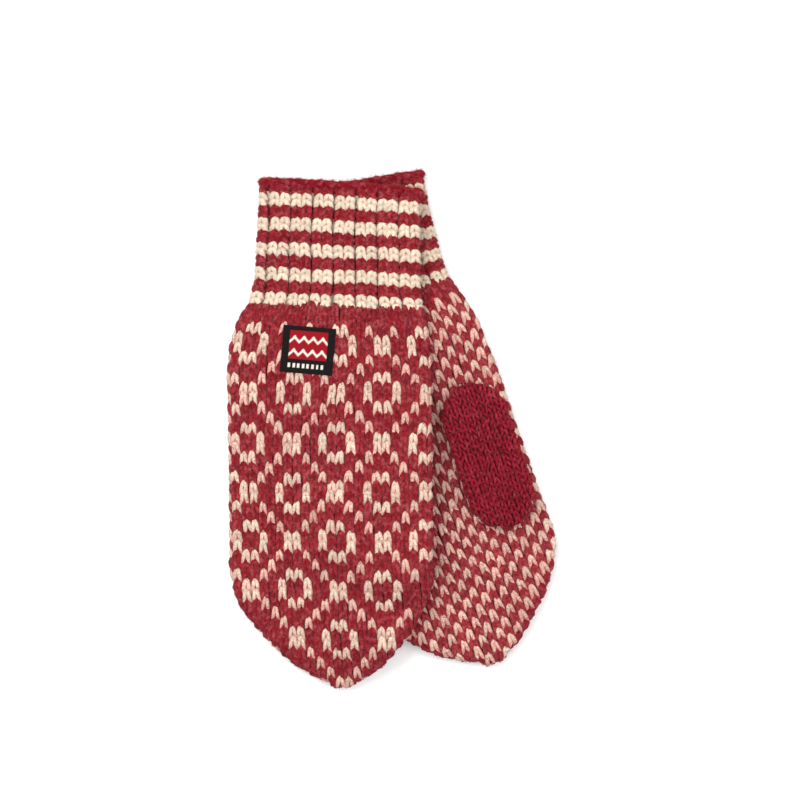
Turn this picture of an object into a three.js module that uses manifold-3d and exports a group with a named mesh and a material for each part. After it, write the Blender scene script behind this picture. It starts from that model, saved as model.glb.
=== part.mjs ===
// A pair of knitted mittens lying flat: the right one, back up, on top of the left one, palm up.
// Millimetres, +Z up, cuffs towards +Y. The origin is the centre of the pair's box, on the surface
// that the pair lies on.
import * as THREE from 'three';
import { mergeVertices } from 'three/addons/utils/BufferGeometryUtils.js';
import Module from 'manifold-3d';

const wasm = await Module();
wasm.setup();

// Driving dimensions.
const HAND_LENGTH = 200;      // from the end of the cuff to the fingertip
const CUFF_LENGTH = 65;
const FABRIC = 3.5;           // one layer of knitting
const THICKNESS = 14;         // a mitten lying flat, both layers and the hollow between
const LITTLE_SIDE = 60;       // half width from the centre line to the little finger's side
const TIP_LENGTH = 58;        // the stretch over which the hand closes to the fingertip
const TIP_SOLID = 5;          // fabric in line with the hand at the fingertip
const LITTLE_WRIST = 45.5;    // half width at the end of the cuff, little finger's side
const THUMB_WRIST = 44;       // the same on the thumb's side
const RIM_HALF = 43.5;        // half width of the cuff at its rim
const FLARE_LENGTH = 34;      // the stretch over which the hand widens from the wrist
const RIM_ROUND = 1.5;
const GAP = 0.3;              // clearance between neighbouring pieces
const THUMB_START = 56;       // from the end of the cuff to the base of the thumb
const THUMB_LENGTH = 78;
const THUMB_WIDTH = 36;
const THUMB_THICKNESS = 10.5;
const THUMB_FABRIC = 2.7;
const THUMB_ROUND = 18;       // length of the round ends of the thumb
const HOLE_LENGTH = 24;       // the oval where the thumb opens into the hand
const HOLE_WIDTH = 22;
const LAYER_GAP = 0.8;        // between the two mittens
const SAG_LENGTH = 38;        // the upper mitten comes down to the surface over this distance
const BUMP_LENGTH = 24;       // and down from its own thumb over this one
const BUMP_MARGIN = 2;
const LABEL_WIDTH = 27.4;
const LABEL_HEIGHT = 24.6;
const LABEL_THICKNESS = 0.9;
const LABEL_GAP = 0.7;        // between the label and the knitting below it
const LABEL_PLACE = [-43.6, 42.2];
const LABEL_TURN = -4.8;      // degrees
const FRAME_SHIFT = [0.57, -0.97];   // moves the centre of the pair's box to the origin

// Steps of the surfaces.
const PANEL_ROWS = 18;
const PANEL_COLUMNS = 14;
const CUFF_ROWS = 5;
const RING_STEPS = 28;
const POD_ROWS = 14;
const OUTLINE_STEPS = 24;

const radians = THREE.MathUtils.degToRad;
const smooth = (t) => THREE.MathUtils.smoothstep(t, 0, 1);
const easeOut = (t) => 1 - (1 - THREE.MathUtils.clamp(t, 0, 1)) ** 2;

// The two mittens. side says on which side of the centre line the thumb is, seen from above.
const LEFT = {
  name: 'left',
  wrist: [-9, 67],
  handTilt: radians(18.65),
  rimTilt: radians(10.4),
  thumbHalf: 51,
  thumbInset: 20,
  palmUp: true,
};
const RIGHT = {
  name: 'right',
  wrist: [-27, 64.4],
  handTilt: radians(0.57),
  rimTilt: radians(-1.4),
  thumbHalf: 47.5,
  thumbInset: 21,
  palmUp: false,
};

// Half width at a distance s from the end of the cuff. The thumb's side is at positive u.
function halfWidth(mitten, sign, s) {
  const wrist = sign > 0 ? THUMB_WRIST : LITTLE_WRIST;
  if (s < 0) {
    return wrist + (RIM_HALF - wrist) * smooth(-s / CUFF_LENGTH);
  }
  const full = sign > 0 ? mitten.thumbHalf : LITTLE_SIDE;
  const closing = Math.max(0, 1 - (HAND_LENGTH - s) / TIP_LENGTH);
  return (wrist + (full - wrist) * easeOut(s / FLARE_LENGTH)) * Math.max(0, 1 - closing ** 1.5) ** 0.7;
}

// Half thickness along the hand: it rounds off towards the fingertip.
function halfThickness(s) {
  const closing = THREE.MathUtils.clamp(1 - (HAND_LENGTH - s) / (TIP_LENGTH / 2), 0, 1);
  return (THICKNESS / 2) * Math.sqrt(1 - closing ** 2);
}

// Height of a layer across the mitten: flat in the middle, round at the sides, 0 at v = -1 and 1.
function crown(v) {
  return Math.min(1, 1.08 * Math.sqrt(Math.max(0, 1 - v ** 6)));
}

// From the mitten's own plan coordinates to the row's: u across, s along, from the wrist.
function plan(mitten, u, s) {
  const bend = s < 0 ? (mitten.rimTilt - mitten.handTilt) * (-s / CUFF_LENGTH) : 0;
  const here = mitten.handTilt + bend;
  const chord = mitten.handTilt + bend / 2;
  return [
    mitten.wrist[0] + s * Math.sin(chord) + u * Math.cos(here),
    mitten.wrist[1] - s * Math.cos(chord) + u * Math.sin(here),
  ];
}

// The outline of the lower mitten, which the upper one hangs over.
function outline(mitten) {
  const points = [];
  for (const sign of [1, -1]) {
    for (let i = 0; i <= OUTLINE_STEPS; i += 1) {
      const share = sign > 0 ? i / OUTLINE_STEPS : 1 - i / OUTLINE_STEPS;
      const s = -CUFF_LENGTH + (CUFF_LENGTH + HAND_LENGTH) * share;
      points.push(plan(mitten, sign * halfWidth(mitten, sign, s), s));
    }
  }
  return points;
}

// Distance from a point to a closed outline, 0 inside it.
function distanceOutside(points, x, y) {
  let inside = false;
  let nearest = Infinity;
  points.forEach(([ax, ay], i) => {
    const [bx, by] = points[(i + 1) % points.length];
    const [dx, dy] = [bx - ax, by - ay];
    const along = ((x - ax) * dx + (y - ay) * dy) / Math.max(dx * dx + dy * dy, 1e-9);
    const t = THREE.MathUtils.clamp(along, 0, 1);
    nearest = Math.min(nearest, Math.hypot(x - ax - t * dx, y - ay - t * dy));
    if (ay > y !== by > y && x < ax + (dx * (y - ay)) / dy) {
      inside = !inside;
    }
  });
  return inside ? 0 : nearest;
}

const lowerOutline = outline(LEFT);

// Height of the surface under a mitten: 0 for the lower one, the lower mitten for the upper one.
function support(mitten, x, y) {
  if (mitten.palmUp) {
    return 0;
  }
  return (THICKNESS + LAYER_GAP) * (1 - smooth(distanceOutside(lowerOutline, x, y) / SAG_LENGTH));
}

// The upper mitten also lies over its own thumb, which raises it there.
function thumbBump(mitten, x, y) {
  if (mitten.palmUp) {
    return 0;
  }
  const u = mitten.thumbHalf - mitten.thumbInset;
  const [ax, ay] = plan(mitten, u, THUMB_START + THUMB_ROUND);
  const [bx, by] = plan(mitten, u, THUMB_START + THUMB_LENGTH - THUMB_ROUND);
  const [dx, dy] = [bx - ax, by - ay];
  const t = THREE.MathUtils.clamp(((x - ax) * dx + (y - ay) * dy) / (dx * dx + dy * dy), 0, 1);
  const away = Math.hypot(x - ax - t * dx, y - ay - t * dy) - THUMB_WIDTH / 2 - BUMP_MARGIN;
  return (THUMB_THICKNESS + LAYER_GAP) * (1 - smooth(away / BUMP_LENGTH));
}

// A point of the hand or cuff. v runs across from -1 to 1, layer is 1 on top and -1 below,
// inner is 1 on the inside of the fabric and 0 on the outside.
function clothPoint(mitten, v, s, layer, inner, split = 0) {
  const across = 1 - (inner * FABRIC) / ((LITTLE_SIDE + mitten.thumbHalf) / 2);
  const along = s > 0 ? 1 - (inner * TIP_SOLID) / HAND_LENGTH : 1;
  const half = halfWidth(mitten, v, s) * across;
  const [x, y] = plan(mitten, v * half, s * along);
  const deep = halfThickness(s) * (1 - (inner * FABRIC) / (THICKNESS / 2)) - split;
  const flat = THICKNESS / 2 + layer * (split + Math.max(deep, 0) * crown(v));
  return [x, y, flat + support(mitten, x, y) + thumbBump(mitten, x, y)];
}

// Collects vertices and faces of one closed body.
class Body {
  constructor() {
    this.positions = [];
    this.faces = [];
  }

  vertex(point) {
    this.positions.push(...point);
    return this.positions.length / 3 - 1;
  }

  quad(a, b, c, d) {
    this.triangle(a, b, c);
    this.triangle(a, c, d);
  }

  triangle(a, b, c) {
    if (a !== b && b !== c && c !== a) {
      this.faces.push(a, b, c);
    }
  }

  // The faces may be wound either way round: the sign of the volume says which.
  geometry() {
    const corner = (i) => new THREE.Vector3().fromArray(this.positions, this.faces[i] * 3);
    let volume = 0;
    for (let i = 0; i < this.faces.length; i += 3) {
      volume += corner(i).dot(corner(i + 1).cross(corner(i + 2)));
    }
    const wound = volume > 0 ? this.faces : this.faces.reverse();
    const geometry = new THREE.BufferGeometry();
    geometry.setAttribute('position', new THREE.Float32BufferAttribute(this.positions, 3));
    geometry.setIndex(wound);
    return geometry;
  }
}

// One layer of the hand, half of the knitted tube, from side to side and to the fingertip.
function panelGeometry(mitten, layer) {
  const body = new Body();
  const grid = [0, 1].map((inner) => {
    const rows = [];
    for (let i = 0; i < PANEL_ROWS; i += 1) {
      const s = HAND_LENGTH * (1 - (1 - i / PANEL_ROWS) ** 1.5);
      const row = [];
      for (let j = 0; j <= PANEL_COLUMNS; j += 1) {
        const v = Math.sin(Math.PI * (j / PANEL_COLUMNS - 0.5));
        row.push(body.vertex(clothPoint(mitten, v, s, layer, inner, GAP / 2)));
      }
      rows.push(row);
    }
    const tip = body.vertex(clothPoint(mitten, 0, HAND_LENGTH, layer, inner, GAP / 2));
    rows.push(rows[0].map(() => tip));
    return rows;
  });
  const [outer, inner] = grid;
  const last = PANEL_COLUMNS;
  for (let i = 0; i < PANEL_ROWS; i += 1) {
    for (let j = 0; j < PANEL_COLUMNS; j += 1) {
      body.quad(outer[i][j], outer[i][j + 1], outer[i + 1][j + 1], outer[i + 1][j]);
      body.quad(inner[i][j], inner[i + 1][j], inner[i + 1][j + 1], inner[i][j + 1]);
    }
    body.quad(outer[i][0], outer[i + 1][0], inner[i + 1][0], inner[i][0]);
    body.quad(outer[i + 1][last], outer[i][last], inner[i][last], inner[i + 1][last]);
  }
  for (let j = 0; j < PANEL_COLUMNS; j += 1) {
    body.quad(outer[0][j + 1], outer[0][j], inner[0][j], inner[0][j + 1]);
  }
  return body.geometry();
}

// Joins rings of vertices, each to the next, and the last to the first if closed.
function joinRings(body, rings, closed) {
  const pairs = closed ? rings.length : rings.length - 1;
  for (let i = 0; i < pairs; i += 1) {
    const here = rings[i];
    const next = rings[(i + 1) % rings.length];
    here.forEach((_, j) => {
      const k = (j + 1) % here.length;
      body.quad(here[j], here[k], next[k], next[j]);
    });
  }
}

// The cuff: a tube open at both ends, with a round rim.
function cuffGeometry(mitten) {
  const body = new Body();
  const stations = [];
  for (let i = 0; i <= CUFF_ROWS; i += 1) {
    stations.push([-GAP - (CUFF_LENGTH - RIM_ROUND - GAP) * (i / CUFF_ROWS), 0]);
  }
  const inside = stations.map(([s]) => [s, 1]).reverse();
  const rim = [-CUFF_LENGTH, 0.5];
  const rings = [...stations, rim, ...inside].map(([s, inner]) => {
    const ring = [];
    for (let j = 0; j < RING_STEPS; j += 1) {
      const turn = (2 * Math.PI * j) / RING_STEPS;
      const layer = Math.sin(turn) >= 0 ? 1 : -1;
      ring.push(body.vertex(clothPoint(mitten, Math.cos(turn), s, layer, inner)));
    }
    return ring;
  });
  joinRings(body, rings, true);
  return body.geometry();
}

// A flat pod with round ends, the outside or the inside of the thumb. It lies on z = bottom.
function podGeometry(mitten, inset, bottom) {
  const body = new Body();
  const length = THUMB_LENGTH - 2 * inset;
  const centre = mitten.thumbHalf - mitten.thumbInset;
  const rings = [];
  for (let i = 0; i <= POD_ROWS; i += 1) {
    const along = (length / 2) * (1 - Math.cos((Math.PI * i) / POD_ROWS));
    const fromEnd = Math.min(along, length - along);
    const round = Math.sqrt(1 - Math.max(0, 1 - fromEnd / (THUMB_ROUND - inset)) ** 2);
    const ring = [];
    const end = i === 0 || i === POD_ROWS;
    for (let j = 0; j < RING_STEPS; j += 1) {
      const turn = (2 * Math.PI * j) / RING_STEPS;
      const v = Math.cos(turn);
      const rise = Math.sign(Math.sin(turn)) * crown(v) * round;
      const [x, y] = plan(mitten, centre + v * round * (THUMB_WIDTH / 2 - inset),
        THUMB_START + inset + along);
      const z = bottom + THUMB_THICKNESS / 2 + rise * (THUMB_THICKNESS / 2 - inset);
      ring.push(end && j > 0 ? ring[0] : body.vertex([x, y, z]));
    }
    rings.push(ring);
  }
  joinRings(body, rings, false);
  return body.geometry();
}

function solidOf(geometry) {
  const plain = geometry.clone();
  plain.deleteAttribute('normal');
  plain.deleteAttribute('uv');
  const merged = mergeVertices(plain, 1e-4);
  return new wasm.Manifold(new wasm.Mesh({
    numProp: 3,
    vertProperties: new Float32Array(merged.attributes.position.array),
    triVerts: new Uint32Array(merged.index.array),
  }));
}

function geometryOf(solid) {
  const mesh = solid.getMesh();
  const geometry = new THREE.BufferGeometry();
  geometry.setAttribute('position', new THREE.BufferAttribute(mesh.vertProperties, 3));
  geometry.setIndex(new THREE.BufferAttribute(mesh.triVerts, 1));
  return geometry;
}

// An upright oval prism where the thumb opens into the palm, from low to high.
function thumbHole(mitten, low, high) {
  const geometry = new THREE.CylinderGeometry(0.5, 0.5, high - low, RING_STEPS);
  geometry.rotateX(Math.PI / 2);
  geometry.scale(HOLE_WIDTH, HOLE_LENGTH, 1);
  geometry.rotateZ(mitten.handTilt);
  const [x, y] = plan(mitten, mitten.thumbHalf - mitten.thumbInset, THUMB_START + THUMB_ROUND);
  geometry.translate(x, y, (low + high) / 2);
  return solidOf(geometry);
}

// Where the thumb lies: on the palm of the lower mitten, and there on both under the upper one.
const THUMB_BOTTOM = THICKNESS + LAYER_GAP;

function thumbGeometry(mitten) {
  const middle = THUMB_BOTTOM + THUMB_THICKNESS / 2;
  const [low, high] = mitten.palmUp
    ? [THUMB_BOTTOM - 1, middle]
    : [middle, THUMB_BOTTOM + THUMB_THICKNESS + 1];
  const outside = solidOf(podGeometry(mitten, 0, THUMB_BOTTOM));
  const hollow = solidOf(podGeometry(mitten, THUMB_FABRIC, THUMB_BOTTOM));
  return geometryOf(outside.subtract(hollow).subtract(thumbHole(mitten, low, high)));
}

function palmGeometry(mitten) {
  const raised = mitten.palmUp ? 0 : THICKNESS + THUMB_THICKNESS + 2 * LAYER_GAP;
  const middle = raised + THICKNESS / 2;
  const [low, high] = mitten.palmUp ? [middle, middle + THICKNESS] : [middle - THICKNESS, middle];
  const panel = solidOf(panelGeometry(mitten, mitten.palmUp ? 1 : -1));
  return geometryOf(panel.subtract(thumbHole(mitten, low, high)));
}

// The label: a thin patch that follows the back of the right hand.
function labelGeometry() {
  const body = new Body();
  const steps = 5;
  const turn = radians(LABEL_TURN);
  const axis = [Math.cos(turn), Math.sin(turn)];
  const layers = [LABEL_GAP, LABEL_GAP + LABEL_THICKNESS].map((lift) => {
    const rows = [];
    for (let i = 0; i <= steps; i += 1) {
      const row = [];
      for (let j = 0; j <= steps; j += 1) {
        const a = LABEL_WIDTH * (j / steps - 0.5);
        const b = LABEL_HEIGHT * (i / steps - 0.5);
        const x = LABEL_PLACE[0] + a * axis[0] - b * axis[1];
        const y = LABEL_PLACE[1] + a * axis[1] + b * axis[0];
        const z = THICKNESS + support(RIGHT, x, y) + thumbBump(RIGHT, x, y) + lift;
        row.push(body.vertex([x, y, z]));
      }
      rows.push(row);
    }
    return rows;
  });
  const [below, above] = layers;
  for (let i = 0; i < steps; i += 1) {
    for (let j = 0; j < steps; j += 1) {
      body.quad(above[i][j], above[i][j + 1], above[i + 1][j + 1], above[i + 1][j]);
      body.quad(below[i][j], below[i + 1][j], below[i + 1][j + 1], below[i][j + 1]);
    }
    body.quad(above[i][0], above[i + 1][0], below[i + 1][0], below[i][0]);
    body.quad(above[i + 1][steps], above[i][steps], below[i][steps], below[i + 1][steps]);
    body.quad(above[0][i + 1], above[0][i], below[0][i], below[0][i + 1]);
    body.quad(above[steps][i], above[steps][i + 1], below[steps][i + 1], below[steps][i]);
  }
  return body.geometry();
}

function wool(color) {
  return new THREE.MeshStandardMaterial({ color, roughness: 0.95, metalness: 0 });
}

const COLORS = { cuff: 0xc98d84, back: 0xa8384a, palm: 0xc98d84, thumb: 0x8c192d, label: 0x232323 };

const group = new THREE.Group();

function add(name, geometry, color) {
  const mesh = new THREE.Mesh(geometry, wool(color));
  mesh.name = name;
  mesh.position.set(FRAME_SHIFT[0], FRAME_SHIFT[1], 0);
  group.add(mesh);
}

for (const mitten of [LEFT, RIGHT]) {
  add(`${mitten.name}_cuff`, cuffGeometry(mitten), COLORS.cuff);
  add(`${mitten.name}_back_panel`, panelGeometry(mitten, mitten.palmUp ? -1 : 1), COLORS.back);
  add(`${mitten.name}_palm_panel`, palmGeometry(mitten), COLORS.palm);
  add(`${mitten.name}_thumb`, thumbGeometry(mitten), COLORS.thumb);
}
add('right_label', labelGeometry(), COLORS.label);

export default group;
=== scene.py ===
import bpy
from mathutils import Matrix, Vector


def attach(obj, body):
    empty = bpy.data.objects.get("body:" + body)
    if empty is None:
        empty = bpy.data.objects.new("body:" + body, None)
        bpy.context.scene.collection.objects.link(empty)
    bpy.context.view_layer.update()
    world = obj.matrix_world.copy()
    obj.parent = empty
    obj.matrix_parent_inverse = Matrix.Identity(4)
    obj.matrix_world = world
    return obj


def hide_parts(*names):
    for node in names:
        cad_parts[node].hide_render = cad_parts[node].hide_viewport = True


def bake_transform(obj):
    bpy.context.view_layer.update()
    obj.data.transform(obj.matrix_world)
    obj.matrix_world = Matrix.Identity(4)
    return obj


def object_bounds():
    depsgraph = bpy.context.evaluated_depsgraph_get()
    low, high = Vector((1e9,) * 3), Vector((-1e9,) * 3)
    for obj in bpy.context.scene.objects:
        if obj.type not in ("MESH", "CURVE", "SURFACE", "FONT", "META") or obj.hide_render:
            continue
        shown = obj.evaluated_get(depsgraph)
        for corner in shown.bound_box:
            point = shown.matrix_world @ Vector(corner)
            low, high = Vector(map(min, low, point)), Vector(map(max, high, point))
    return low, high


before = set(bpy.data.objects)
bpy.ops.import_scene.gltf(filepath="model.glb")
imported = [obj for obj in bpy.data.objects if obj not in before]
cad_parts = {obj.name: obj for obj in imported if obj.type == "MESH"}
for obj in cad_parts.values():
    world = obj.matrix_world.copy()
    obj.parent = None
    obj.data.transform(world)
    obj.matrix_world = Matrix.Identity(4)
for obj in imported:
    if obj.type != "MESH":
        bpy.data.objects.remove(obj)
CAD_BOX = [list(corner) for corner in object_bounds()]

import math

import bpy
import numpy as np
from mathutils import Vector

bl_info = {
    "name": "Knitted Mittens",
    "version": (1, 0, 0),
    "blender": (4, 5, 0),
    "location": "View3D > Sidebar > Mittens",
    "description": "Knits a pair of wool mittens stitch by stitch on the surfaces of a packed model",
    "category": "Add Mesh",
}

# ---------------------------------------------------------------------------
# The pair's own measurements, in millimetres, as the solids have them
# ---------------------------------------------------------------------------

MM = 0.001
HAND_LENGTH = 200.0         # from the end of the cuff to the fingertips
CUFF_LENGTH = 65.0
THICKNESS = 14.0            # of a mitten lying flat
LITTLE_SIDE = 60.0          # from the spine to the little finger's side
LITTLE_WRIST = 45.5         # the same at the wrist
THUMB_WRIST = 44.0          # from the spine to the thumb's side at the wrist
RIM_HALF = 43.5
FLARE_LENGTH = 34.0         # over which the hand widens from the wrist
TIP_LENGTH = 58.0           # over which it narrows to the fingertips
THUMB_START = 56.0          # from the end of the cuff
THUMB_LENGTH = 78.0
THUMB_WIDTH = 36.0
THUMB_THICKNESS = 10.5
THUMB_ROUND = 18.0          # radius of its two ends
LAYER_GAP = 0.8             # between pieces that lie on each other
SAG_LENGTH = 38.0           # over which the upper mitten comes down from the lower one's edge
BUMP_LENGTH = 24.0          # and over which it comes down from the thumb under it
BUMP_MARGIN = 2.0
LABEL_WIDTH = 27.4
LABEL_HEIGHT = 24.6
LABEL_PLACE = (-43.6, 42.2)
LABEL_TURN = math.radians(-4.8)
FRAME_SHIFT = (0.57, -0.97)     # from the places above to the frame's

# The camera looks straight down. AIM is in millimetres, as the mittens' places are.
AIM = (4.5, 16.2)
VIEW_WIDTH = 0.4226
VIEW_DISTANCE = 1.6
CAMERA_RISE = 0.012         # height above the floor at which the view is VIEW_WIDTH wide
SENSOR_WIDTH = 36.0

# The knitting. A column is one stitch wide and a row one stitch long.
HAND_COLUMNS = 46
BACK_COLUMNS = 12           # on each side of the spine
HAND_ROWS = 39
CUFF_RIBS = 15
CUFF_ROWS = 20
THUMB_COLUMNS = 18
THUMB_ROWS = 24
PLAIN_ROWS = 2              # at the wrist end of the hand
PLAIN_BORDER = 1.3          # columns of plain red beside the fold of the fingertip
FIRST_COLUMN = -13.5        # of the hand, counted from the spine
ROW_MIDDLE = 0.4            # where a stitch sits in its row
WAVER = 0.09                # how far columns and rows wander, in stitches
YARN_DEPTH = 1.9            # from the outside of the stitches down to the fabric under them
SEAT = YARN_DEPTH + 0.2     # from the outside of the stitches down to the outside of the fabric wall
WALL = 3.6                  # the whole thickness of the fabric
FIBRE_LENGTH = 3.0          # a loose fibre of the wool
FIBRE_RADIUS = 0.10
FIBRE_TILT = ((0.75, -0.2, -math.pi), (1.5, 0.2, math.pi))  # least and most, as turns about x, y, z
FIBRE_CLEAR = 4.2           # no loose fibres start below this height, next to the surface
FLOOR_PRESS = 0.4           # yarn below this height is pressed flat on the surface
FLOOR_GIVE = 0.2            # and keeps this share of its depth

# How the knitting lies beside the solids' own outline. A swell is (size, station, reach).
WRIST_SWELL = (3.0, 2.0, 13.0)      # the little finger's side spreads early, past the cuff
THUMB_SIDE_SWELL = (1.8, 162.0, 25.0)   # the lower mitten's thumb side near the fingertips
THUMB_SIDE_TUCK = (2.0, 8.0, 28.0)  # and round the wrist, where it draws in
TIP_SOLID = 6.0             # fabric in line with the hand at the fingertip
TIP_BLUNT = 1.7             # the fingertip stops narrowing this far before its end
TIP_SQUEEZE = 0.3           # stitches past the fingertip's end are shortened to this share
WALE_BOW = 2.2              # the columns bow this far towards the little finger at mid hand
RIM_SLOPE = 0.045           # how far the rows of the upper mitten lean at the rim, and at the wrist
WRIST_SLOPE = 0.05
SLOPE_LENGTH = 80.0         # the lean is gone this far down the hand
RIM_CURVE = 0.0004          # the rim curves down at its two sides
RIM_TURN = 1.2              # the cuff turns in over its edge with this radius
ROLL_RADIUS = 2.2           # the cast-on edge rolls up into a cord
ROLL_OVERHANG = 1.4         # which reaches this far past the rim
CUFF_INSET = 0.7            # the ribs pull the cuff in by this much more
CUFF_TURN = 0.2             # ribs by which the seam is turned round the cuff
RIB_DIP = 1.7               # depth of the furrow between two ribs
RIB_DIP_WIDTH = 0.07        # as a share of a rib

# The flat map that stitches are laid out on before they are wrapped
ATLAS = 64.0                # columns and rows in its side
ATLAS_LOW = 16.0            # column 0 of the upper side
ATLAS_FAR = 24.0            # column 0 of the lower side
ATLAS_ROW = 4.0             # row 0

LEFT = {
    "name": "left", "wrist": (-9.0, 67.0), "hand_tilt": math.radians(18.65),
    "rim_tilt": math.radians(10.4), "thumb_half": 51.0, "thumb_inset": 20.0, "palm_up": True,
}
RIGHT = {
    "name": "right", "wrist": (-27.0, 64.4), "hand_tilt": math.radians(0.57),
    "rim_tilt": math.radians(-1.4), "thumb_half": 47.5, "thumb_inset": 21.0, "palm_up": False,
}
MITTENS = (LEFT, RIGHT)


def linear(red, green, blue):
    """A screen colour, each part from 0 to 255, as the linear colour that shaders take."""
    def part(value):
        value /= 255.0
        return value / 12.92 if value <= 0.04045 else ((value + 0.055) / 1.055) ** 2.4
    return (part(red), part(green), part(blue), 1.0)


# ---------------------------------------------------------------------------
# Shape of a mitten lying flat
# ---------------------------------------------------------------------------

def smooth(t):
    t = np.clip(t, 0.0, 1.0)
    return t * t * (3.0 - 2.0 * t)


def swell(s, size, station, reach):
    """A smooth rise round a station that falls off over its reach."""
    return size * math.exp(-((s - station) / reach) ** 2)


def side_spread(mitten, sign, s):
    """How far a side lies outside the solid's own outline."""
    if sign < 0:
        return swell(s, *WRIST_SWELL)
    if not mitten["palm_up"]:
        return 0.0
    return swell(s, *THUMB_SIDE_SWELL) - swell(s, *THUMB_SIDE_TUCK)


def half_width(mitten, sign, s):
    """Half width at s from the end of the cuff. sign is positive on the thumb's side."""
    wrist = THUMB_WRIST if sign > 0 else LITTLE_WRIST
    spread = side_spread(mitten, sign, s)
    if s < 0:
        return wrist + spread + (RIM_HALF - wrist) * float(smooth(-s / CUFF_LENGTH))
    full = mitten["thumb_half"] if sign > 0 else LITTLE_SIDE
    flare = 1.0 - (1.0 - min(s / FLARE_LENGTH, 1.0)) ** 2
    closing = max(0.0, 1.0 - (HAND_LENGTH - s) / TIP_LENGTH)
    return (wrist + spread + (full - wrist) * flare) * max(0.0, 1.0 - closing ** 1.5) ** 0.7


def half_thickness(s):
    """Half thickness at s, which closes over the last half of the fingertip."""
    closing = min(max(1.0 - (HAND_LENGTH - s) / (TIP_LENGTH / 2), 0.0), 1.0)
    return THICKNESS / 2 * math.sqrt(1.0 - closing ** 2)


def crown(v):
    """Share of the thickness at a share v of the half width: flat, and round at the sides."""
    return np.sqrt(np.maximum(0.0, 1.0 - np.abs(v) ** 6))


def row_slope(mitten, s):
    """How far the rows lean down towards the thumb's side."""
    if mitten["palm_up"]:
        return 0.0
    if s < 0:
        return WRIST_SLOPE + (RIM_SLOPE - WRIST_SLOPE) * min(-s / CUFF_LENGTH, 1.0)
    return WRIST_SLOPE * (1.0 - float(smooth(s / SLOPE_LENGTH)))


def plan(mitten, u, s):
    """From across (u) and along (s), measured from the wrist, to the row's own plan."""
    bend = (mitten["rim_tilt"] - mitten["hand_tilt"]) * (-s / CUFF_LENGTH) if s < 0 else 0.0
    here = mitten["hand_tilt"] + bend
    chord = mitten["hand_tilt"] + bend / 2
    x = mitten["wrist"][0] + s * math.sin(chord) + u * math.cos(here)
    y = mitten["wrist"][1] - s * math.cos(chord) + u * math.sin(here)
    return x, y


def outline(mitten, steps=40):
    """The mitten's edge seen from above, from the rim down one side and back up the other."""
    points = []
    for sign in (1, -1):
        for i in range(steps + 1):
            share = i / steps if sign > 0 else 1 - i / steps
            s = -CUFF_LENGTH + (CUFF_LENGTH + HAND_LENGTH) * share
            points.append(plan(mitten, sign * half_width(mitten, sign, s), s))
    return np.array(points)


LOWER_OUTLINE = outline(LEFT)


def distance_outside(points, x, y):
    """Distance from each place to a closed outline, 0 inside it."""
    inside = np.zeros(x.shape, bool)
    nearest = np.full(x.shape, np.inf)
    for (ax, ay), (bx, by) in zip(points, np.roll(points, -1, axis=0)):
        dx, dy = bx - ax, by - ay
        t = np.clip(((x - ax) * dx + (y - ay) * dy) / max(dx * dx + dy * dy, 1e-9), 0, 1)
        nearest = np.minimum(nearest, np.hypot(x - ax - t * dx, y - ay - t * dy))
        if ay != by:
            crossed = ((ay > y) != (by > y)) & (x < ax + dx * (y - ay) / (by - ay))
            inside ^= crossed
    return np.where(inside, 0.0, nearest)


def lying_height(mitten, x, y):
    """Height of what a mitten lies on: the lower mitten and its own thumb raise the upper one."""
    if mitten["palm_up"]:
        return np.zeros_like(x)
    outside = distance_outside(LOWER_OUTLINE, x, y)
    height = (THICKNESS + LAYER_GAP) * (1 - smooth(outside / SAG_LENGTH))
    u = mitten["thumb_half"] - mitten["thumb_inset"]
    ax, ay = plan(mitten, u, THUMB_START + THUMB_ROUND)
    bx, by = plan(mitten, u, THUMB_START + THUMB_LENGTH - THUMB_ROUND)
    dx, dy = bx - ax, by - ay
    t = np.clip(((x - ax) * dx + (y - ay) * dy) / (dx * dx + dy * dy), 0, 1)
    away = np.hypot(x - ax - t * dx, y - ay - t * dy) - THUMB_WIDTH / 2 - BUMP_MARGIN
    return height + (THUMB_THICKNESS + LAYER_GAP) * (1 - smooth(away / BUMP_LENGTH))


# ---------------------------------------------------------------------------
# Knitted tubes: each part of a mitten is a flattened tube with columns round it and rows along it
# ---------------------------------------------------------------------------

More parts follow.
